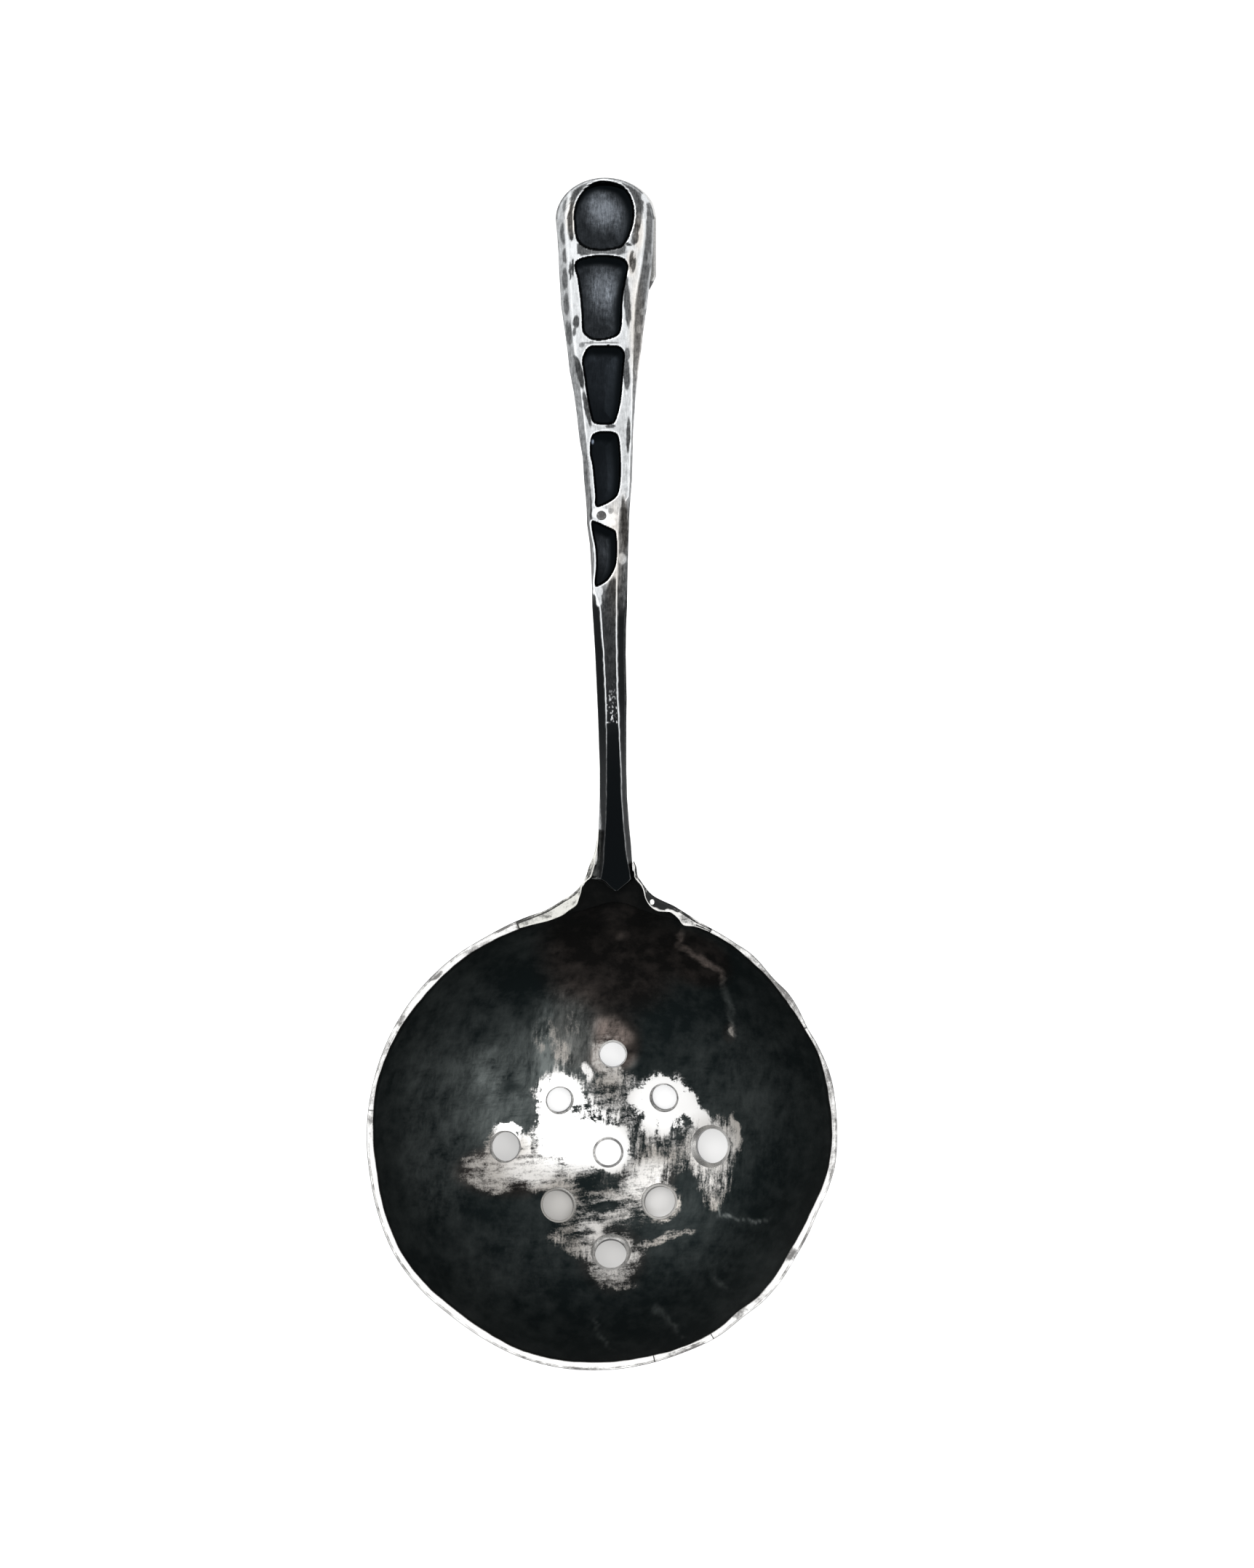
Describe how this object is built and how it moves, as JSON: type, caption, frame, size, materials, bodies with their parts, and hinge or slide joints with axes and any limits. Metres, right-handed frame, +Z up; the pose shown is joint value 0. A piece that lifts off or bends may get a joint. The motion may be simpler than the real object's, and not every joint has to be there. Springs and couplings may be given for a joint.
{
  "type": "bar strainer",
  "caption": "Bar strainer with a round drilled bowl, a bright rim laid on its edge, a faceted handle with carved cells, and a hook bent back beneath its end.",
  "frame": {"origin": "on the table, under the middle of the whole strainer as it lies on the flat of its bowl and on its hook", "axes": "+Y along the handle, away from the bowl; +Z up, out of the mouth of the bowl; +X to the right seen from above"},
  "size_m": [0.0726, 0.1828, 0.0226],
  "materials": {
    "dark_silver": "oxidised near black, worn bright where it rubs",
    "bright_silver": "filed and polished",
    "handle_silver": "hammered facets with polished ridges and blackened cells",
    "pale_silver": "satin"
  },
  "bodies": {
    "root": {"bowl": "dark_silver", "rim_upper_left": "bright_silver", "rim_lower_left": "bright_silver", "rim_bottom_short": "bright_silver", "rim_lower_right": "bright_silver", "rim_upper_right": "bright_silver", "left_shoulder": "bright_silver", "right_shoulder": "dark_silver", "handle": "handle_silver", "hanging_hook": "pale_silver", "shoulder_pin": "bright_silver", "bridge_pin": "pale_silver"}
  },
  "joints": []
}
